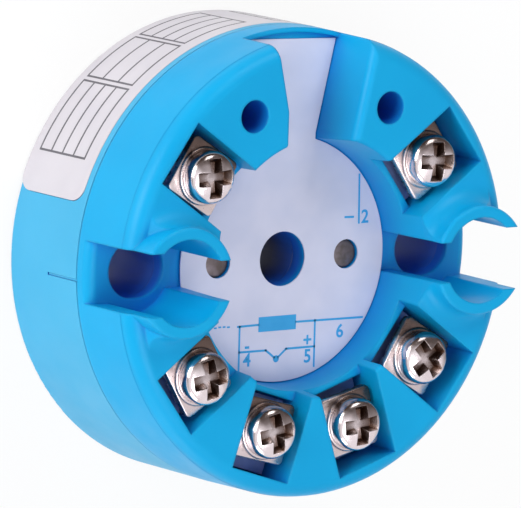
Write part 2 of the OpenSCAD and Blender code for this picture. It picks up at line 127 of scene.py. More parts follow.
def add_node(
    tree: Tree, kind: Kind, settings: dict[str, Any] | None = None, inputs: dict[Any, Any] | None = None
) -> bpy.types.Node:
    """Adds a node with its settings and links.

    Args:
        tree: The node tree.
        kind: Which node.
        settings: The node's own properties.
        inputs: For each input, by name or number, a value, an output, or a node for its first output.

    Returns:
        The new node.
    """
    node = tree.nodes.new("ShaderNode" + kind.value)
    for name, value in (settings or {}).items():
        setattr(node, name, value)
    for key, value in (inputs or {}).items():
        if isinstance(value, bpy.types.Node):
            value = value.outputs[0]
        if isinstance(value, bpy.types.NodeSocket):
            tree.links.new(value, node.inputs[key])
        else:
            node.inputs[key].default_value = value
    return node


def emptied(owner: bpy.types.Material | bpy.types.World) -> Tree:
    """Empties the node tree of a new material or world.

    Args:
        owner: The material or world.

    Returns:
        Its node tree.
    """
    owner.use_nodes = True
    owner.node_tree.nodes.clear()
    return owner.node_tree


def object_noise(tree: Tree, size_mm: float, detail: float = 2.0, stretch: tuple = (1, 1, 1)) -> Source:
    """Adds a noise pattern of a real size in object space.

    Args:
        tree: The node tree.
        size_mm: Size of one blot.
        detail: Number of finer layers.
        stretch: Scale along each axis, for a pattern with a direction.

    Returns:
        The noise's value, about 0.5 on average.
    """
    place = add_node(tree, Kind.COORDINATES).outputs["Object"]
    stretched = add_node(tree, Kind.MAPPING, None, {"Vector": place, "Scale": stretch})
    blots = {"Vector": stretched, "Scale": 1 / (size_mm * MM), "Detail": detail}
    return add_node(tree, Kind.NOISE, None, blots)


def uneven(
    tree: Tree, size_mm: float, low: float, high: float, detail: float = 2.0, stretch: tuple = (1, 1, 1)
) -> Source:
    """Adds a value that wanders between two ends, in blots of a real size.

    Args:
        tree: The node tree.
        size_mm: Size of one blot.
        low: One end.
        high: The other end.
        detail: Number of finer layers.
        stretch: Scale along each axis, for a pattern with a direction.

    Returns:
        The value.
    """
    noise = object_noise(tree, size_mm, detail, stretch)
    ends = {"From Min": NOISE_LOW, "From Max": NOISE_HIGH, "To Min": low, "To Max": high}
    return add_node(tree, Kind.RANGE, None, {"Value": noise, **ends})


def hollow_share(tree: Tree, reach_mm: float, closed: float, open_at: float) -> Source:
    """Measures how deep each point lies between walls, for the shade painted into hollows.

    Args:
        tree: The node tree.
        reach_mm: How far away a wall still counts.
        closed: The openness below which a point is deep in a hollow.
        open_at: The openness above which a point is out in the open.

    Returns:
        1 deep in hollows and 0 in the open.
    """
    settings = {"samples": HOLLOW_SAMPLES, "only_local": True}
    around = add_node(tree, Kind.OCCLUSION, settings, {"Distance": reach_mm * MM})
    openness = {"Value": around.outputs["AO"], "From Min": open_at, "From Max": closed}
    return add_node(tree, Kind.RANGE, None, openness)


@dataclass(frozen=True)
class Finish:
    """A surface finish: two close tones in soft blots, over a fine relief."""

    name: str
    tone: str
    second_tone: str
    roughness: float
    blot_mm: float
    grain_mm: float
    grain_depth_mm: float
    edge_mm: float = 0.04
    metallic: float = 0.0
    ior: float = 1.5
    roughness_spread: float = 0.05
    specular: float = 0.5
    stretch: tuple = (1, 1, 1)
    fine_detail: float = 3.0

    def layers(self, tree: Tree) -> Layers:
        """Lists the tones that lie over the first one, each with its share."""
        return [(uneven(tree, self.blot_mm, 0.0, 1.0), self.second_tone)]

    def sheen(self, tree: Tree) -> Source:
        """Gives the roughness, which wanders a little."""
        low, high = (self.roughness + sign * self.roughness_spread for sign in (-1, 1))
        return uneven(tree, self.blot_mm / 3, low, high, self.fine_detail, self.stretch)

    def relief(self, tree: Tree) -> Source:
        """Adds the fine grain over softened edges.

        Args:
            tree: The node tree.

        Returns:
            The normal for the shader.
        """
        grain = object_noise(tree, self.grain_mm, self.fine_detail, self.stretch)
        inputs = {"Height": grain, "Distance": self.grain_depth_mm * MM}
        if self.edge_mm > 0:
            radius = {"Radius": self.edge_mm * MM}
            inputs["Normal"] = add_node(tree, Kind.BEVEL, {"samples": EDGE_SAMPLES}, radius)
        return add_node(tree, Kind.BUMP, None, inputs)

    def look(self, tree: Tree) -> dict[str, Any]:
        """Lists what the shader gets: colour, roughness, relief and the rest.

        Args:
            tree: The node tree.

        Returns:
            A value or node for each input.
        """
        tone = linear(self.tone)
        for share, code in self.layers(tree):
            tone = add_node(tree, Kind.MIX, COLOURS, {0: share, 6: tone, 7: linear(code)}).outputs[2]
        return {
            "Base Color": tone,
            "Roughness": self.sheen(tree),
            "Metallic": self.metallic,
            "Specular IOR Level": self.specular,
            "Normal": self.relief(tree),
            "IOR": self.ior,
        }

    @cache
    def material(self) -> bpy.types.Material:
        """Makes the material, once for all pieces that wear it.

        Returns:
            The material, named after the finish.
        """
        material = bpy.data.materials.new(self.name)
        tree = emptied(material)
        shader = add_node(tree, Kind.PRINCIPLED, None, self.look(tree))
        add_node(tree, Kind.MATERIAL_OUTPUT, None, {"Surface": shader})
        return material


@dataclass(frozen=True)
class MouldedPlastic(Finish):
    """Coloured plastic that lets a little light in below its surface, with shade painted darker into its
    hollows, down its recess wall and in its holes.
    """

    # Painted shade: a deeper tone where walls close in round a point
    deep: str = "#145CC6"
    hollow_shade_mm: float = 5.5
    hollow_shade_closed: float = 0.15
    hollow_shade_open: float = 0.82
    # Painted shade, darker below the recess floor's height and darkest deep in the bore
    hole: str = "#2269CD"
    hole_shade_reach: tuple = (13.1, 12.3, 21.0)
    pit: str = "#12265E"
    pit_shade_reach: tuple = (12.2, 8.0, 3.0)
    # Painted shade, darker towards the foot of the recess wall round the label
    wall: str = "#0A84D6"
    wall_shade_reach: tuple = (17.0, 13.4, 12.7)
    wall_shade_share: float = 0.4
    glow: float = 0.08
    glow_mm: float = 0.6
    glow_spread: tuple = (0.25, 0.7, 1.0)

    def depth_shade_share(self, tree: Tree, reach: tuple, most: float = 1.0) -> Source:
        """Measures how far down a point is, near the part's middle axis, for the shade painted by depth.

        Args:
            tree: The node tree.
            reach: Height where the share starts, height where it is full, and the radius that it
                stays within, in mm.
            most: The full share.

        Returns:
            0 above the first height or outside the radius, and up to the full share below.
        """
        start, full, within = (value * MM for value in reach)
        place = add_node(tree, Kind.COORDINATES).outputs["Object"]
        height = add_node(tree, Kind.SEPARATE, None, {"Vector": place}).outputs["Z"]
        ends = {"Value": height, "From Min": start, "From Max": full, "To Max": most}
        depth = add_node(tree, Kind.RANGE, None, ends)
        flat = add_node(tree, Kind.MAPPING, None, {"Vector": place, "Scale": (1, 1, 0)})
        radius = add_node(tree, Kind.VECTOR_MATH, {"operation": "LENGTH"}, {0: flat}).outputs["Value"]
        inside = add_node(tree, Kind.MATH, {"operation": "LESS_THAN"}, {0: radius, 1: within})
        return add_node(tree, Kind.MATH, {"operation": "MULTIPLY"}, {0: depth, 1: inside})

    def layers(self, tree: Tree) -> Layers:
        """Adds the painted shade: deeper tones in hollows, on the recess's wall and down in the holes.

        Args:
            tree: The node tree.

        Returns:
            Each layer's share and tone.
        """
        return super().layers(tree) + [
            (hollow_share(tree, self.hollow_shade_mm, self.hollow_shade_closed, self.hollow_shade_open), self.deep),
            (self.depth_shade_share(tree, self.wall_shade_reach, self.wall_shade_share), self.wall),
            (self.depth_shade_share(tree, self.hole_shade_reach), self.hole),
            (self.depth_shade_share(tree, self.pit_shade_reach), self.pit),
        ]

    def look(self, tree: Tree) -> dict[str, Any]:
        """Adds the light that spreads under the surface.

        Args:
            tree: The node tree.

        Returns:
            A value or node for each input.
        """
        return super().look(tree) | {
            "Subsurface Weight": self.glow,
            "Subsurface Radius": self.glow_spread,
            "Subsurface Scale": self.glow_mm * MM,
        }


@dataclass(frozen=True)
class PlatedSteel(Finish):
    """Nickel-plated steel, with brown painted shade in its recesses and a brown painted reflection on the
    side away from the light.
    """

    # Painted brown shade in the recesses, which also dulls them
    recess: str = "#4A3930"
    recess_mm: float = 1.4
    recess_from: float = 0.25
    recess_to: float = 0.75
    recess_roughness: float = 0.45
    wave_mm: float = 2.4
    wave_depth_mm: float = 0.07
    metallic: float = 1.0
    # Painted brown reflection on the side away from the light
    far: str = "#4E392C"
    far_reflection_share: float = 0.0
    far_from: float = 0.75
    far_to: float = 1.35
    far_blot_mm: float = 1.3
    far_wander: float = 1.6

    def far_side(self, tree: Tree) -> Source:
        """Measures the painted brown reflection on the side away from the light, with an uneven edge.

        Args:
            tree: The node tree.

        Returns:
            The brown's share.
        """
        mark = add_node(tree, Kind.ATTRIBUTE, {"attribute_name": FAR_MARK}).outputs["Fac"]
        parts = {0: object_noise(tree, self.far_blot_mm, 1.0), 1: self.far_wander, 2: mark}
        edge = add_node(tree, Kind.MATH, {"operation": "MULTIPLY_ADD"}, parts)
        ends = {"From Min": self.far_from, "From Max": self.far_to, "To Max": self.far_reflection_share}
        return add_node(tree, Kind.RANGE, None, {"Value": edge, **ends})

    def hollow(self, tree: Tree) -> Source:
        """Measures how deep each point lies in a recess, for the shade painted there."""
        return hollow_share(tree, self.recess_mm, self.recess_from, self.recess_to)

    def layers(self, tree: Tree) -> Layers:
        """Adds the painted brown reflection on the far side and the painted brown shade in the recesses."""
        return super().layers(tree) + [(self.far_side(tree), self.far), (self.hollow(tree), self.recess)]

    def sheen(self, tree: Tree) -> Source:
        """Makes the recesses duller."""
        shares = {0: self.hollow(tree), 2: super().sheen(tree), 3: self.recess_roughness}
        return add_node(tree, Kind.MIX, {"data_type": "FLOAT"}, shares)

    def relief(self, tree: Tree) -> Source:
        """Adds the faint waves that stamping leaves."""
        waves = {"Height": object_noise(tree, self.wave_mm, 0.0), "Distance": self.wave_depth_mm * MM}
        return add_node(tree, Kind.BUMP, None, {"Normal": super().relief(tree), **waves})


@dataclass(frozen=True)
class BoardLaminate(Finish):
    """Green solder mask over copper tracks."""

    cell_mm: float = 2.7
    track_share: float = 0.09
    copper: str = "#2E7A3E"

    def layers(self, tree: Tree) -> Layers:
        """Adds paler tracks in the mask.

        Args:
            tree: The node tree.

        Returns:
            Each layer's share and tone.
        """
        place = add_node(tree, Kind.COORDINATES).outputs["Object"]
        pattern = {"feature": "DISTANCE_TO_EDGE"}
        cells = add_node(tree, Kind.VORONOI, pattern, {"Vector": place, "Scale": 1 / (self.cell_mm * MM)})
        track = add_node(tree, Kind.MATH, {"operation": "LESS_THAN"}, {0: cells, 1: self.track_share})
        return super().layers(tree) + [(track, self.copper)]


# Blue ABS, injection moulded in a fine-eroded mould: satin, with soft edges and a slight glow in thin
# walls. The mould's grain is drawn at 0.22 mm, coarser than the real one, so that it shows
HOUSING_BLUE = MouldedPlastic(
    "abs_moulded_blue", "#029DD4", "#04A1D8", roughness=0.42,
    blot_mm=9, grain_mm=0.22, grain_depth_mm=0.003, edge_mm=0.35, ior=1.53, specular=0.2,
)
# The same ABS in the barrel's cup, in a paler tone that paints in the sheen the barrel shows where it faces
# the light
CUP_BLUE = MouldedPlastic(
    "abs_moulded_blue_cup", "#30A3D0", "#34A7D4", roughness=0.45,
    blot_mm=11, grain_mm=0.25, grain_depth_mm=0.003, edge_mm=0.1, ior=1.53,
)
# Polyester film, silk-screened pale lavender: flat and faintly cloudy
FACE_FILM = Finish(
    "polyester_film_lavender", "#C8CBE1", "#D0D1E5", roughness=0.5,
    blot_mm=3.4, grain_mm=0.3, grain_depth_mm=0.001,
)
# Blue ink, screen-printed on the film: matt and even
INK_BLUE = Finish(
    "screen_ink_blue", "#2C9AD6", "#34A0DA", roughness=0.55,
    blot_mm=2, grain_mm=0.2, grain_depth_mm=0.001, edge_mm=0.0,
)
# White polyester film: smooth, with the faint unevenness of a stuck-on label
SIDE_FILM = Finish(
    "polyester_film_white", "#C5C1C9", "#CBC7CE", roughness=0.42,
    blot_mm=6, grain_mm=0.8, grain_depth_mm=0.002,
)
# Grey thermal print on the white film: matt, thin and even
INK_GREY = Finish(
    "thermal_print_grey", "#5F5D64", "#69686F", roughness=0.6,
    blot_mm=2, grain_mm=0.2, grain_depth_mm=0.001, edge_mm=0.0,
)
# Nickel-plated stamped steel: bright and warm, with rolling marks drawn coarse enough to show
# Brown painted shade in its recesses and a brown painted reflection on the side away from the light
PLATE_NICKEL = PlatedSteel(
    "steel_stamped_nickel", "#E6D9D8", "#DACDCA", roughness=0.3,
    blot_mm=1.6, grain_mm=0.7, grain_depth_mm=0.0012, edge_mm=0.08,
    stretch=(1, 2, 1), far_reflection_share=0.88,
)
# The same steel in the base plates, matt, in a blue tone that paints in the pocket walls' reflection and
# shade, with navy painted shade in its recesses
BASE_NICKEL = PlatedSteel(
    "steel_stamped_matt", "#8799CF", "#7C8EC4", roughness=0.5,
    blot_mm=1.6, grain_mm=0.7, grain_depth_mm=0.0012, edge_mm=0.05, recess="#1A2F66", recess_mm=1.6,
    recess_from=0.2, recess_to=0.95, metallic=0.6,
)
# Nickel-plated cold-headed steel: brighter than the plates, with faint forming marks and brown painted
# shade in the recess
# Its side away from the light gets a brown painted reflection
SCREW_NICKEL = PlatedSteel(
    "steel_headed_nickel", "#FAF2F3", "#F0E6E6", roughness=0.2,
    blot_mm=1.2, grain_mm=0.6, grain_depth_mm=0.0015, edge_mm=0.08, recess="#5A4336", recess_mm=1.6,
    recess_from=0.5, recess_to=0.93, recess_roughness=0.3, roughness_spread=0.04, far_reflection_share=0.65,
)
# Turned brass of the test jacks' sleeves: yellow, with rings drawn coarse enough to show
JACK_BRASS = Finish(
    "brass_turned", "#C9A658", "#B8934A", roughness=0.3,
    blot_mm=1.5, grain_mm=0.1, grain_depth_mm=0.002, metallic=1.0, stretch=(1, 1, 6),
)
# Tinned contact studs, dull and in a dark grey-brown tone
STUD_TIN = Finish(
    "tin_plated_dull", "#7C7478", "#69615F", roughness=0.5,
    blot_mm=0.8, grain_mm=0.15, grain_depth_mm=0.003, edge_mm=0.05, metallic=1.0,
)
# Pressed glass-fibre laminate under green solder mask: satin, with paler tracks
BOARD_GREEN = BoardLaminate(
    "laminate_solder_mask", "#1B5E33", "#1F6838", roughness=0.35,
    blot_mm=5, grain_mm=0.3, grain_depth_mm=0.002,
)
# Sintered ferrite: dark, dense and slightly gritty
FERRITE = Finish(
    "ferrite_sintered", "#2B2B2E", "#36353A", roughness=0.6,
    blot_mm=1.2, grain_mm=0.12, grain_depth_mm=0.006, edge_mm=0.08,
)
# Black epoxy, moulded round the chips: matt, dark and even
CHIP_RESIN = Finish(
    "epoxy_moulded_black", "#1C1C1F", "#232327", roughness=0.55,
    blot_mm=1.5, grain_mm=0.08, grain_depth_mm=0.004, edge_mm=0.06,
)
# Ochre epoxy, moulded round the tantalum capacitors: satin, with soft edges
CAPACITOR_RESIN = Finish(
    "epoxy_moulded_ochre", "#C98F2D", "#BF8527", roughness=0.45,
    blot_mm=1.5, grain_mm=0.1, grain_depth_mm=0.003, edge_mm=0.08,
)
# Drawn steel of the crystal's can: smooth and bright, with round edges
CAN_STEEL = Finish(
    "steel_drawn_can", "#C6C6C8", "#B5B5B8", roughness=0.3,
    blot_mm=1, grain_mm=0.1, grain_depth_mm=0.001, edge_mm=0.12, metallic=1.0,
)

CAD_FINISHES = {
    "front_housing": HOUSING_BLUE,
    "rear_cup": CUP_BLUE,
    "face_label": FACE_FILM,
    "side_label": SIDE_FILM,
    "terminal_base": BASE_NICKEL,
    "clamp_plate": PLATE_NICKEL,
    "terminal_screw": SCREW_NICKEL,
    "test_jack": JACK_BRASS,
    "contact_stud": STUD_TIN,
    "circuit_board": BOARD_GREEN,
    "isolating_transformer": FERRITE,
    "microcontroller": CHIP_RESIN,
    "signal_converter": CHIP_RESIN,
    "output_isolator": CHIP_RESIN,
    "tantalum_capacitors": CAPACITOR_RESIN,
    "power_inductor": FERRITE,
    "crystal": CAN_STEEL,
}


def dress_cad() -> None:
    """Puts its material on every CAD node."""
    for name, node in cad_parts.items():
        stem = next(s for s in CAD_FINISHES if name.startswith(s))
        node.data.materials.clear()
        node.data.materials.append(CAD_FINISHES[stem].material())


def linked(name: str, data: bpy.types.ID) -> bpy.types.Object:
    """Puts a new object into the scene.

    Args:
        name: The object's name.
        data: Its mesh, curve, lamp or camera.

    Returns:
        The new object.
    """
    item = bpy.data.objects.new(name, data)
    bpy.context.scene.collection.objects.link(item)
    return item


def placed(
    name: str, mesh: Mesh, finish: Finish, place: Matrix = Matrix(), body: str = HOUSING
) -> bpy.types.Object:
    """Puts a finished mesh into the scene, riding on a CAD body.

    Args:
        name: The piece's name.
        mesh: The mesh, in mm.
        finish: Its finish.
        place: Its place, in metres.
        body: The CAD body that it moves with.

    Returns:
        The new object.
    """
    mesh.name = name
    mesh.transform(place @ Matrix.Scale(MM, 4))
    mesh.materials.clear()
    mesh.materials.append(finish.material())
    piece = linked(name, mesh)
    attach(piece, body)
    LOG.info("%s: %d faces on %s", name, len(mesh.polygons), body)
    return piece


def as_mesh(bm: Shape, name: str, smooth_deg: float = 35) -> Mesh:
    """Turns a bmesh into a mesh with outward faces and smooth shading up to an angle.

    Args:
        bm: The bmesh, which is freed.
        name: The mesh's name.
        smooth_deg: Edges sharper than this stay sharp.

    Returns:
        The mesh.
    """
    bmesh.ops.recalc_face_normals(bm, faces=bm.faces)
    mesh = bpy.data.meshes.new(name)
    bm.to_mesh(mesh)
    bm.free()
    mesh.polygons.foreach_set("use_smooth", [True] * len(mesh.polygons))
    mesh.set_sharp_from_angle(angle=math.radians(smooth_deg))
    return mesh


def block(size: tuple, middle: tuple = (0, 0, 0), turn: float = 0.0, bm: Shape | None = None) -> Shape:
    """Adds a box to a shape, or starts a shape with it.

    Args:
        size: The box's three sides.
        middle: Its middle.
        turn: Its turn round the Z axis, in radians.
        bm: The shape.

    Returns:
        The shape.
    """
    if bm is None:
        bm = bmesh.new()
    place = Matrix.Translation(middle) @ Matrix.Rotation(turn, 4, "Z") @ Matrix.Diagonal((*size, 1))
    bmesh.ops.create_cube(bm, size=1, matrix=place)
    return bm


def softened(bm: Shape, edges: list, radius: float, segments: int) -> None:
    """Rounds edges.

    Args:
        bm: The shape.
        edges: The edges.
        radius: Radius of the rounding.
        segments: Flats in the rounding.
    """
    bmesh.ops.bevel(
        bm, geom=edges, offset=radius, offset_type="OFFSET", segments=segments,
        profile=0.5, affect="EDGES", material=-1,
    )


def sliced(bm: Shape, place: tuple, normal: tuple, dist: float = 0.0, trim: bool = False) -> None:
    """Cuts all faces along a plane.

    Args:
        bm: The shape.
        place: A point on the plane.
        normal: The plane's normal.
        dist: Corners this near the plane count as on it.
        trim: Whether what lies beyond the plane is taken away.
    """
    everything = list(bm.verts) + list(bm.edges) + list(bm.faces)
    bmesh.ops.bisect_plane(
        bm, geom=everything, dist=dist, plane_co=place, plane_no=normal, clear_outer=trim
    )


def turned(profile: list[tuple[float, float]], steps: int) -> Shape:
    """Turns a closed profile round the Z axis, as a lathe does.

    Args:
        profile: Radius and height of each corner, from the axis or back to its own start.
        steps: Steps in the full turn.

    Returns:
        The bmesh, in the profile's own units.
    """
    bm = bmesh.new()
    corners = [bm.verts.new((r, 0, z)) for r, z in profile]
    pairs = list(zip(corners, corners[1:]))
    if profile[0][0] > 0:
        pairs.append((corners[-1], corners[0]))
    edges = [bm.edges.new(pair) for pair in pairs]
    bmesh.ops.spin(bm, geom=corners + edges, axis=(0, 0, 1), angle=TURN, steps=steps, use_merge=True)
    bmesh.ops.remove_doubles(bm, verts=bm.verts, dist=WELD)
    bmesh.ops.recalc_face_normals(bm, faces=bm.faces)
    return bm


def combined(base: Shape, tool: Shape, join: Join) -> Shape:
    """Joins two closed shapes, or cuts one with the other.

    Args:
        base: The first shape, which is freed.
        tool: The second shape, which is freed.
        join: Whether the second is added or cuts.

    Returns:
        The new shape.
    """
    objects = []
    for bm in (base, tool):
        bmesh.ops.recalc_face_normals(bm, faces=bm.faces)
        mesh = bpy.data.meshes.new("working")
        bm.to_mesh(mesh)
        bm.free()
        objects.append(linked("working", mesh))
    modifier = objects[0].modifiers.new("combine", "BOOLEAN")
    modifier.operation = join.value
    modifier.solver = "EXACT"
    modifier.object = objects[1]
    graph = bpy.context.evaluated_depsgraph_get()
    result = bmesh.new()
    result.from_object(objects[0], graph)
    for item in objects:
        mesh = item.data
        bpy.data.objects.remove(item)
        bpy.data.meshes.remove(mesh)
    bmesh.ops.remove_doubles(result, verts=result.verts, dist=WELD)
    return result


def at_terminal(seat: Vector, turn_deg: float) -> Matrix:
    """Gives the place on a seat, turned from the direction away from the part's middle axis."""
    turn = math.atan2(seat.y, seat.x) + math.radians(turn_deg)
    return Matrix.Translation(seat) @ Matrix.Rotation(turn, 4, "Z")


def mark_far_side(mesh: Mesh, middle: Vector, reach_mm: float) -> None:
    """Marks how far each vertex lies towards the side away from the light, for the brown reflection painted
    there.

    Args:
        mesh: The mesh, in metres and in place.
        middle: The mark is 0 here.
        reach_mm: The mark is 1 at this distance.
    """
    marks = mesh.attributes.new(FAR_MARK, "FLOAT", "POINT")
    for mark, vertex in zip(marks.data, mesh.vertices):
        mark.value = (vertex.co - middle).dot(FAR_DIRECTION) / (reach_mm * MM)


@dataclass
class TerminalScrew:
    """Pan-head M3 screw with a cross recess. Sizes in mm; the thread is 0.5 mm a turn."""

    head_r: float = 2.5
    head_h: float = 2.0
    dome_h: float = 0.55
    rim_round: float = 0.8
    foot_round: float = 0.12
    shank_l: float = 5.6
    thread_r: float = 1.5
    root_r: float = 1.2
    pitch: float = 0.5
    flank_heights: tuple = (0.08, 0.22, 0.29, 0.43)
    spare_turns: int = 3
    recess_l: float = 4.1
    recess_w: float = 1.6
    recess_h: float = 1.05
    wing_taper: float = 0.7
    wing_narrowing: float = 0.5
    pit_r: float = 1.2
    pit_floor_r: float = 0.3
    pit_share: float = 0.97
    waist: float = 0.8
    cross_turns: tuple = (38, 52, 64, 28, 77, 74)
    head_steps: int = 72
    rim_steps: int = 6
    dome_steps: int = 10
    thread_steps: int = 24
    smooth_deg: float = 32

    def head(self) -> Shape:
        """Turns the head with its dome.

        Returns:
            The head.
        """
        dome_r = (self.head_r**2 + self.dome_h**2) / (2 * self.dome_h)
        middle = self.head_h - dome_r
        edge, foot, rounding = self.head_r, self.foot_round, self.rim_round
        profile = [(0.0, 0.0), (edge - foot, 0.0), (edge - foot / 3, foot / 3), (edge, foot)]
        lean = math.asin((edge - rounding) / (dome_r - rounding))
        height = middle + (dome_r - rounding) * math.cos(lean)
        for i in range(self.rim_steps + 1):
            angle = math.pi / 2 + (lean - math.pi / 2) * i / self.rim_steps
            radius = edge - rounding + rounding * math.sin(angle)
            profile.append((radius, height + rounding * math.cos(angle)))
        for i in range(1, self.dome_steps + 1):
            angle = lean * (1 - i / self.dome_steps)
            profile.append((dome_r * math.sin(angle), middle + dome_r * math.cos(angle)))
        return turned(profile, self.head_steps)

    def wing(self, turn: float) -> Shape:
        """Shapes one tapered bar of the cross that the driver fits.

        Args:
            turn: The bar's turn, in radians.

        Returns:
            The bar, a tool that cuts the head.
        """
        bm = block((self.recess_l, self.recess_w, self.recess_h))
        sliced(bm, (0, 0, 0), (1, 0, 0))
        centre = [v for v in bm.verts if abs(v.co.x) < WELD]
        bmesh.ops.scale(bm, vec=(1, self.waist, 1), verts=centre)
        low = [v for v in bm.verts if v.co.z < 0]
        bmesh.ops.scale(bm, vec=(self.wing_taper, self.wing_narrowing, 1), verts=low)
        middle = self.head_h - self.recess_h + self.recess_h / 2
        place = Matrix.Translation((0, 0, middle)) @ Matrix.Rotation(turn, 4, "Z")
        bmesh.ops.transform(bm, matrix=place, verts=bm.verts)
        return bm

    def pit(self) -> Shape:
        """Shapes the four-sided pit where the bars cross, which breaks their inner corners.

        Returns:
            The pit, a tool that cuts the head.
        """
        bm = bmesh.new()
        depth = 2 * self.recess_h
        bmesh.ops.create_cone(
            bm, cap_ends=True, segments=4, radius1=self.pit_floor_r, radius2=self.pit_r * 2, depth=depth,
            matrix=Matrix.Translation((0, 0, self.head_h - self.recess_h * self.pit_share + depth / 2)),
        )
        return bm

    def thread(self) -> Shape:
        """Winds the thread from below the tip to above the head's underside, and trims it.

        Returns:
            The threaded shank.
        """
        bm = bmesh.new()
        turns = round(self.shank_l / self.pitch) + self.spare_turns
        steps = self.thread_steps
        rise, crest, crest_end, fall = self.flank_heights
        shape = [(self.root_r, 0), (self.root_r, rise), (self.thread_r, crest), (self.thread_r, crest_end),
                 (self.root_r, fall), (self.root_r, self.pitch)]
        start = -self.shank_l - self.pitch
        corners = [bm.verts.new((r, 0, start + z)) for r, z in shape]
        edges = [bm.edges.new(pair) for pair in zip(corners, corners[1:])]
        bmesh.ops.spin(
            bm, geom=corners + edges, axis=(0, 0, 1), dvec=(0, 0, self.pitch / steps),
            angle=TURN * turns, steps=steps * turns,
        )
        bmesh.ops.remove_doubles(bm, verts=bm.verts, dist=LOOSE_WELD)
        for height, direction in ((-self.shank_l, -1), (self.head_h / 8, 1)):
            sliced(bm, (0, 0, height), (0, 0, direction), ON_PLANE, True)
            open_edges = [e for e in bm.edges if e.is_boundary]
            rim = [e for e in open_edges if all(abs(v.co.z - height) < LOOSE_WELD for v in e.verts)]
            bmesh.ops.edgeloop_fill(bm, edges=rim)
        return bm

    def shape(self) -> Mesh:
        """Makes the whole screw, in mm, with its seat at the origin.

        Returns:
            The screw's mesh.
        """
        recess = combined(self.wing(0), self.wing(TURN / 4), Join.ADD)
        recess = combined(recess, self.pit(), Join.ADD)
        head = combined(self.head(), recess, Join.CUT)
        return as_mesh(combined(head, self.thread(), Join.ADD), "terminal_screw", self.smooth_deg)

    def build(self) -> None:
        """Puts a screw in each terminal, in place of the CAD screws."""
        shape = self.shape()
        for k in TERMINALS:
            low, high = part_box(f"terminal_screw_{k}")
            seat = Vector((*((low + high) / 2).xy, high.z - self.head_h * MM))
            place = at_terminal(seat, self.cross_turns[k - 1])
            piece = placed(f"screw_{k}", shape.copy(), SCREW_NICKEL, place, f"screw_{k}")
            mark_far_side(piece.data, seat, self.head_r)
            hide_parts(f"terminal_screw_{k}")
        bpy.data.meshes.remove(shape)


@dataclass
class ClampPlate:
    """Square clamp plate with a raised collar, wire grooves and broken edges. Sizes in mm."""

    side: float = 5.8
    thickness: float = 0.9
    corner_r: float = 0.5
    edge_r: float = 0.12
    collar_r: float = 2.75
    collar_h: float = 0.3
    hole_r: float = 1.6
    grip_w: float = 0.5
    grip_h: float = 0.25
    yaws: tuple = (3, -2, -6, 3, -4, 5)
    corner_steps: int = 5
    edge_steps: int = 3
    sharp_angle: float = 1.0
    collar_steps: int = 64
    roll_share: float = 0.6
    roll_steps: int = 4
    hole_steps: int = 48
    smooth_deg: float = 38

    def slab(self) -> Shape:
        """Makes the plate with rounded corners and broken edges.

        Returns:
            The plate without its collar.
        """
        bm = block((self.side, self.side, self.thickness), (0, 0, self.thickness / 2))
        upright = [e for e in bm.edges if abs(e.verts[0].co.z - e.verts[1].co.z) > self.thickness / 2]
        softened(bm, upright, self.corner_r, self.corner_steps)
        level = [
            e for e in bm.edges
            if abs(e.verts[0].co.z - e.verts[1].co.z) < ON_PLANE and e.calc_face_angle(0) > self.sharp_angle
        ]
        softened(bm, level, self.edge_r, self.edge_steps)
        return bm

    def collar(self) -> Shape:
        """Turns the raised collar with its rolled edge.

        Returns:
            The collar.
        """
        top = self.thickness + self.collar_h
        roll = self.collar_h * self.roll_share
        foot = self.thickness / 2
        profile = [(0.0, foot), (self.collar_r, foot), (self.collar_r, top - roll)]
        for i in range(1, self.roll_steps + 1):
            angle = math.pi / 2 * i / self.roll_steps
            radius = self.collar_r - roll * (1 - math.cos(angle))
            profile.append((radius, top - roll + roll * math.sin(angle)))
        profile.append((0.0, top))
        return turned(profile, self.collar_steps)

    def hole(self) -> Shape:
        """Shapes the screw's hole.

        Returns:
            The hole, a tool that cuts the plate.
        """
        bm = bmesh.new()
        bmesh.ops.create_cone(
            bm, cap_ends=True, segments=self.hole_steps, radius1=self.hole_r, radius2=self.hole_r,
            depth=4 * self.thickness,
        )
        return bm

    def grip(self, y: float) -> Shape:
        """Shapes one wire groove, a tool that cuts the plate."""
        return block((2 * self.side, self.grip_w, 2 * self.grip_h), (0, y, 0))

    def shape(self) -> Mesh:
        """Makes the whole plate, in mm, with its underside at the origin.

        Returns:
            The plate's mesh.
        """
        whole = combined(self.slab(), self.collar(), Join.ADD)
        whole = combined(whole, self.hole(), Join.CUT)
        for y in (-self.side / 4, 0, self.side / 4):
            whole = combined(whole, self.grip(y), Join.CUT)
        return as_mesh(whole, "clamp_plate", self.smooth_deg)

    def build(self) -> None:
        """Puts a plate in each terminal, in place of the CAD plates."""
        shape = self.shape()
        for k in TERMINALS:
            low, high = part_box(f"clamp_plate_{k}")
            seat = Vector((*((low + high) / 2).xy, low.z))
            place = at_terminal(seat, self.yaws[k - 1])
            piece = placed(f"plate_{k}", shape.copy(), PLATE_NICKEL, place, f"clamp_{k}")
            mark_far_side(piece.data, seat, self.side / 2)
            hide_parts(f"clamp_plate_{k}")
        bpy.data.meshes.remove(shape)


@dataclass
class FaceFilm:
    """Printed film of the face label, its flap cut straight across at the rim. Sizes in mm."""

    flap_corner: tuple = (5.4, 20.68)
    flap_lean: float = 0.03
    smooth_deg: float = 30

    def build(self) -> None:
        """Cuts a copy of the CAD film straight across, and puts it in that film's place."""
        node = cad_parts["face_label"]
        bm = bmesh.new()
        bm.from_mesh(node.data)
        bmesh.ops.transform(bm, matrix=Matrix.Scale(1 / MM, 4) @ node.matrix_world, verts=bm.verts)
        bmesh.ops.remove_doubles(bm, verts=bm.verts, dist=LOOSE_WELD)
        sliced(bm, (*self.flap_corner, 0), (self.flap_lean, 1, 0), ON_PLANE, True)
        bmesh.ops.holes_fill(bm, edges=[e for e in bm.edges if e.is_boundary], sides=0)
        piece = placed("label_face", as_mesh(bm, "label_face", self.smooth_deg), FACE_FILM)
        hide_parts("face_label")


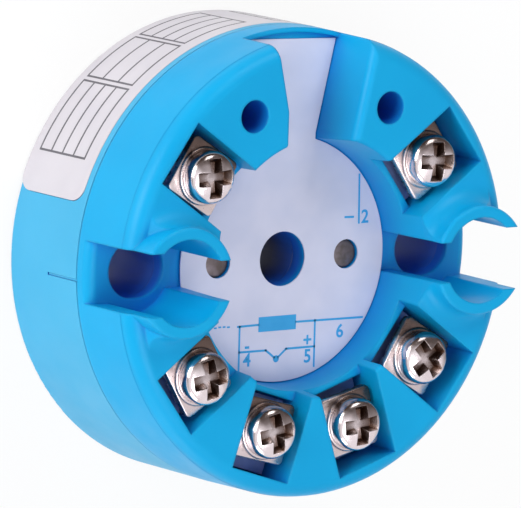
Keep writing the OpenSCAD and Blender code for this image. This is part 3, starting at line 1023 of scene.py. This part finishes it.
@dataclass
class FacePrint:
    """Blue screen print on the face label. Sizes in mm."""

    line_w: float = 0.2
    ink_h: float = 0.02
    digit_h: float = 1.25
    lines: tuple = (
        ((-4.9, -6.15), (-2.53, -6.12)), ((1.81, -6.12), (9.54, -6.2)), ((-4.7, -6.15), (-4.68, -10.5)),
        ((4.02, -6.12), (4.05, -10.5)), ((-4.68, -8.6), (-1.6, -8.62)), ((-1.6, -8.62), (-0.62, -9.35)),
        ((-0.15, -9.35), (0.76, -8.62)), ((0.76, -8.62), (4.04, -8.62)), ((8.7, 7.5), (8.8, 2.9)),
        ((7.2, 3.52), (8.1, 3.5)),
    )
    dashes: tuple = ((-7.5, -6.1), (-7.0, -6.05), (-6.5, -6.05), (-6.0, -6.1))
    dash_l: float = 0.16
    dash_w: float = 0.16
    resistor: tuple = ((-1.82, -6.11), (1.1, -6.11))
    resistor_w: float = 1.42
    sign_boost: float = 0.035
    sign_steps: int = 4
    capital_share: float = 0.7
    bead: tuple = (-0.39, -9.5, 0.34)
    bead_steps: int = 24
    smooth_deg: float = 20
    signs: tuple = (
        ("-", -3.78, -8.05), ("4", -3.75, -9.45), ("+", 3.21, -8.02), ("5", 3.27, -9.55),
        ("6", 6.96, -7.4), ("2", 9.5, 3.4),
    )

    def bar(self, bm: Shape, start: tuple, end: tuple, width: float) -> None:
        """Adds a straight line of ink.

        Args:
            bm: The print so far.
            start: One end.
            end: The other end.
            width: The line's width.
        """
        a, b = Vector((*start, 0)), Vector((*end, 0))
        along = b - a
        size = (along.length + width, width, self.ink_h)
        block(size, (a + b) / 2, math.atan2(along.y, along.x), bm)

    def digits(self, top: float) -> None:
        """Prints the plain terminal numbers and signs.

        Args:
            top: Height of the film's face, in metres.
        """
        for i, (sign, x, y) in enumerate(self.signs):
            curve = bpy.data.curves.new("sign", "FONT")
            curve.body = sign
            curve.size = self.digit_h / self.capital_share
            curve.align_x = curve.align_y = "CENTER"
            curve.extrude = self.ink_h / 2
            curve.offset = self.sign_boost
            curve.resolution_u = self.sign_steps
            item = linked("sign", curve)
            graph = bpy.context.evaluated_depsgraph_get()
            graph.update()
            mesh = bpy.data.meshes.new_from_object(item.evaluated_get(graph))
            bpy.data.objects.remove(item)
            place = Matrix.Translation((x * MM, y * MM, top + self.ink_h / 2 * MM))
            placed(f"print_sign_{i + 1}", mesh, INK_BLUE, place)

    def build(self) -> None:
        """Prints the lines, the resistor, the bead and the signs on the label."""
        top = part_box("face_label")[1].z
        bm = bmesh.new()
        for start, end in self.lines:
            self.bar(bm, start, end, self.line_w)
        for x, y in self.dashes:
            self.bar(bm, (x - self.dash_l / 2, y), (x + self.dash_l / 2, y), self.dash_w)
        self.bar(bm, *self.resistor, self.resistor_w)
        x, y, radius = self.bead
        bmesh.ops.create_cone(
            bm, cap_ends=True, segments=self.bead_steps, radius1=radius, radius2=radius, depth=self.ink_h,
            matrix=Matrix.Translation((x, y, 0)),
        )
        bmesh.ops.translate(bm, vec=(0, 0, self.ink_h / 2), verts=bm.verts)
        mesh = as_mesh(bm, "print_lines", self.smooth_deg)
        placed("print_lines", mesh, INK_BLUE, Matrix.Translation((0, 0, top)))
        self.digits(top)


@dataclass
class ContactStud:
    """Dull stud under a window of the face label, with a broken rim. Sizes in mm."""

    foot_r: float = 1.25
    head_r: float = 1.38
    head_h: float = 0.6
    rim: float = 0.3
    below_label: float = 0.28
    steps: int = 64
    smooth_deg: float = 30

    def build(self) -> None:
        """Puts a stud under each window, in place of the CAD studs."""
        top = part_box("face_label")[1].z / MM - self.below_label
        for side in ("left", "right"):
            node = f"contact_stud_{side}"
            low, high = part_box(node)
            middle = (low + high) / 2
            neck = top - self.head_h
            profile = [
                (0.0, low.z / MM), (self.foot_r, low.z / MM), (self.foot_r, neck), (self.head_r, neck),
                (self.head_r, top - self.rim), (self.head_r - self.rim / 3, top - self.rim / 4),
                (self.head_r - self.rim, top), (0.0, top),
            ]
            mesh = as_mesh(turned(profile, self.steps), node, self.smooth_deg)
            place = Matrix.Translation((*middle.xy, 0))
            piece = placed(f"stud_{side}", mesh, STUD_TIN, place)
            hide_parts(node)


@dataclass
class BarrelSeams:
    """What closes the seam and the slits just below the barrel's surface. Sizes in mm and degrees."""

    barrel_r: float = 22.0
    below: float = 0.07
    thickness: float = 0.35
    width: float = 0.22
    foot: float = 6.6
    head: float = 11.2
    edge_r: float = 0.04
    turns: tuple = (2.4, 182.4)
    edge_steps: int = 2
    web_smooth_deg: float = 30
    bead: tuple = ((21.87, 11.24), (21.95, 11.24), (21.97, 11.3), (21.95, 11.36), (21.87, 11.36))
    bead_steps: int = 180
    bead_smooth_deg: float = 50

    def build(self) -> None:
        """Puts the bead in the seam and a web in each slit."""
        mesh = as_mesh(turned(list(self.bead), self.bead_steps), "seam_bead", self.bead_smooth_deg)
        placed("seam_bead", mesh, CUP_BLUE)
        for i, turn in enumerate(self.turns):
            middle = (self.barrel_r - self.below - self.thickness / 2, 0, (self.head + self.foot) / 2)
            bm = block((self.thickness, self.width, self.head - self.foot), middle)
            softened(bm, list(bm.edges), self.edge_r, self.edge_steps)
            mesh = as_mesh(bm, "slit_web", self.web_smooth_deg)
            place = Matrix.Rotation(math.radians(turn), 4, "Z")
            placed(f"slit_web_{i + 1}", mesh, CUP_BLUE, place)


@dataclass
class SideLabel:
    """White film round the barrel's upper half, with plain ruled fields. Sizes in mm and degrees."""

    barrel_r: float = 22.0
    proud: float = 0.012
    film_t: float = 0.12
    foot: float = 0.12
    head: float = 10.4
    first_deg: float = 16.4
    last_deg: float = 163.6
    corner_r: float = 1.6
    corner_steps: int = 8
    step_deg: float = 1.5
    ink_h: float = 0.006
    rule_w: float = 0.22
    field_rise: tuple = (1.3, 8.6)
    wide_rules: tuple = (3.1, 4.9, 6.7)
    narrow_rules: tuple = (3.7, 6.2)
    wide_fields: tuple = ((132.5, 153.0), (94.5, 113.0), (27.0, 47.5), (67.0, 85.5))
    narrow_fields: tuple = ((114.5, 131.0), (49.0, 65.5))

    def slab(self, bm: Shape, span: tuple, rise: tuple, depth: tuple) -> None:
        """Adds a flat slab: along the arc, up the barrel and out from it.

        Args:
            bm: The flat shape so far.
            span: First and last angle, in degrees.
            rise: Lowest and highest height.
            depth: Inner and outer distance from the barrel's surface.
        """
        along = [math.radians(a) * self.barrel_r for a in span]
        size = [high - low for low, high in (along, rise, depth)]
        block(size, [(low + high) / 2 for low, high in (along, rise, depth)], bm=bm)

    def wrapped(self, bm: Shape, name: str) -> Mesh:
        """Cuts a flat shape in steps along the arc and wraps it round the barrel.

        Args:
            bm: The flat shape, which is freed.
            name: The mesh's name.

        Returns:
            The mesh.
        """
        angle = self.first_deg + self.step_deg
        while angle < self.last_deg:
            sliced(bm, (math.radians(angle) * self.barrel_r, 0, 0), (1, 0, 0))
            angle += self.step_deg
        for vert in bm.verts:
            turn = vert.co.x / self.barrel_r
            radius = self.barrel_r + vert.co.z
            height = vert.co.y
            vert.co = (radius * math.cos(turn), min(radius * math.sin(turn), self.barrel_r), height)
        return as_mesh(bm, name)

    def build(self) -> None:
        """Sticks the film on the barrel and prints the empty fields on it."""
        bm = bmesh.new()
        depth = (self.proud - self.film_t, self.proud)
        self.slab(bm, (self.first_deg, self.last_deg), (self.foot, self.head), depth)
        corners = [e for e in bm.edges if abs(e.verts[0].co.z - e.verts[1].co.z) > self.film_t / 2]
        softened(bm, corners, self.corner_r, self.corner_steps)
        film = placed("label_side", self.wrapped(bm, "label_side"), SIDE_FILM)
        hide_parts("side_label")
        bm = bmesh.new()
        depth = (self.proud - self.ink_h, self.proud + self.ink_h)
        half = self.rule_w / 2
        turn = math.degrees(half / self.barrel_r)
        for fields, rules in ((self.wide_fields, self.wide_rules), (self.narrow_fields, self.narrow_rules)):
            for first, last in fields:
                for height in self.field_rise:
                    self.slab(bm, (first - turn, last + turn), (height - half, height + half), depth)
                for angle in (first, last):
                    self.slab(bm, (angle - turn, angle + turn), self.field_rise, depth)
                for height in rules:
                    self.slab(bm, (first, last), (height - half, height + half), depth)
        placed("label_fields", self.wrapped(bm, "label_fields"), INK_GREY)


@dataclass
class Studio:
    """Camera, floor, surroundings and lamps. The camera stands as the photograph's did."""

    camera_right: tuple = (0.8126087, 0.0308026, 0.5819950)
    camera_down: tuple = (-0.0632635, -0.9880397, 0.1406244)
    camera_ahead: tuple = (0.5793658, -0.1510916, -0.8009410)
    offset_mm: tuple = (-5.71723, -1.42725, 762.639)
    lens_mm: float = 552.78
    clip_m: tuple = (0.01, 20)
    floor_m: float = 4.0
    floor_gap_m: float = 0.00002
    floor_glow: float = 0.87
    paper: str = "#F4F4F4"
    second_paper: str = "#F7F7F7"
    paper_blot_mm: float = 40
    paper_roughness: float = 0.9
    ambient: float = 0.46
    bright_side: tuple = (0.1, -0.3, 0.95)
    bright_at: float = 0.45
    bright: tuple = (0.82, 0.78, 0.81, 1)
    dark: tuple = (0.14, 0.11, 0.1, 1)
    brown_side: tuple = (0.3, 0.9, 0.3)
    brown_from: float = 0.33
    brown_to: float = 0.62
    brown_share: float = 0.85
    brown: tuple = (0.1, 0.065, 0.05, 1)
    aim_mm: tuple = (0, 0, 12)
    lamps: tuple = (
        ("key", (-770, 340, 200), 520, 5.4, "#FFFDFA"), ("fill", (-150, -300, 800), 500, 2.8, "#FAFCFF"),
        ("top", (200, 600, 500), 300, 1.5, "#FFFFFF"), ("low", (-260, -700, 130), 350, 1.3, "#FFFFFF"),
    )

    def camera(self) -> None:
        """Sets the camera from the measured view."""
        right, down, ahead = (Vector(v) for v in (self.camera_right, self.camera_down, self.camera_ahead))
        x, y, z = self.offset_mm
        place = -(right * x + down * y + ahead * z) * MM
        data = bpy.data.cameras.new("view")
        data.lens = self.lens_mm
        data.clip_start, data.clip_end = self.clip_m
        item = linked("view", data)
        axes = Matrix((right, -down, -ahead)).transposed().to_4x4()
        item.matrix_world = Matrix.Translation(place) @ axes
        bpy.context.scene.camera = item

    def floor(self) -> None:
        """Lays the plain pale floor: white to the camera, with the object's soft shadow."""
        material = bpy.data.materials.new("floor_paper")
        tree = emptied(material)
        blots = uneven(tree, self.paper_blot_mm, 0, 1)
        tones = {0: blots, 6: linear(self.paper), 7: linear(self.second_paper)}
        tone = add_node(tree, Kind.MIX, COLOURS, tones).outputs[2]
        look = {"Base Color": tone, "Roughness": self.paper_roughness}
        paper = add_node(tree, Kind.PRINCIPLED, None, look)
        glow = add_node(tree, Kind.EMISSION, None, {"Color": WHITE})
        rays = add_node(tree, Kind.LIGHT_PATH).outputs
        seen = rays["Is Camera Ray"]
        for ray in ("Is Glossy Ray", "Is Transmission Ray"):
            seen = add_node(tree, Kind.MATH, {"operation": "MAXIMUM"}, {0: seen, 1: rays[ray]})
        share = add_node(tree, Kind.MATH, {"operation": "MULTIPLY"}, {0: seen, 1: self.floor_glow})
        mixed = add_node(tree, Kind.MIX_SHADER, None, {0: share, 1: paper, 2: glow})
        add_node(tree, Kind.MATERIAL_OUTPUT, None, {"Surface": mixed})
        bm = bmesh.new()
        bmesh.ops.create_grid(bm, x_segments=1, y_segments=1, size=self.floor_m)
        bmesh.ops.translate(bm, vec=(0, 0, -self.floor_gap_m), verts=bm.verts)
        mesh = bpy.data.meshes.new("floor")
        bm.to_mesh(mesh)
        bm.free()
        mesh.materials.append(material)
        item = linked("floor", mesh)

    def surroundings(self) -> None:
        """Sets the soft studio light, white to the camera and shaded for what gloss reflects."""
        world = bpy.data.worlds.new("studio")
        bpy.context.scene.world = world
        tree = emptied(world)
        place = add_node(tree, Kind.COORDINATES).outputs["Generated"]
        sides = (
            add_node(tree, Kind.VECTOR_MATH, {"operation": "DOT_PRODUCT"}, {0: place, 1: side})
            for side in (self.bright_side, self.brown_side)
        )
        towards, away = (node.outputs["Value"] for node in sides)
        ramp = add_node(tree, Kind.RAMP, None, {"Fac": towards})
        ends = ((0, self.dark), (self.bright_at, self.bright))
        for element, (position, colour) in zip(ramp.color_ramp.elements, ends):
            element.position = position
            element.color = colour
        ends = {"From Min": self.brown_from, "From Max": self.brown_to, "To Max": self.brown_share}
        brown = add_node(tree, Kind.RANGE, None, {"Value": away, **ends})
        tone = add_node(tree, Kind.MIX, COLOURS, {0: brown, 6: ramp, 7: self.brown}).outputs[2]
        gloss = add_node(tree, Kind.BACKGROUND, None, {"Color": tone})
        soft = add_node(tree, Kind.BACKGROUND, None, {"Color": WHITE, "Strength": self.ambient})
        white = add_node(tree, Kind.BACKGROUND, None, {"Color": WHITE})
        rays = add_node(tree, Kind.LIGHT_PATH).outputs
        inner = add_node(tree, Kind.MIX_SHADER, None, {0: rays["Is Glossy Ray"], 1: soft, 2: gloss})
        either = {0: rays["Is Camera Ray"], 1: rays["Is Transmission Ray"]}
        seen = add_node(tree, Kind.MATH, {"operation": "MAXIMUM"}, either)
        whole = add_node(tree, Kind.MIX_SHADER, None, {0: seen, 1: inner, 2: white})
        add_node(tree, Kind.WORLD_OUTPUT, None, {"Surface": whole})

    def light(self) -> None:
        """Hangs the square soft lamps, which face the object."""
        for name, place_mm, size_mm, power, tint in self.lamps:
            data = bpy.data.lights.new(name, "AREA")
            data.shape = "SQUARE"
            data.size = size_mm * MM
            data.energy = power
            data.color = linear(tint)[:3]
            place = Vector(place_mm) * MM
            aim = (Vector(self.aim_mm) * MM - place).to_track_quat("-Z", "Y")
            linked(name, data).matrix_world = Matrix.Translation(place) @ aim.to_matrix().to_4x4()

    def build(self) -> None:
        """Sets up the whole studio."""
        self.camera()
        self.floor()
        self.surroundings()
        self.light()
        bpy.context.scene.view_settings.view_transform = "Standard"


def main() -> None:
    """Builds the studio and every piece."""
    logging.basicConfig(level=logging.INFO, format="%(name)s: %(message)s")
    dress_cad()
    for part in (ClampPlate, TerminalScrew, FaceFilm, FacePrint, ContactStud, BarrelSeams, SideLabel):
        part().build()
    Studio().build()


if __name__ == "__main__":
    main()
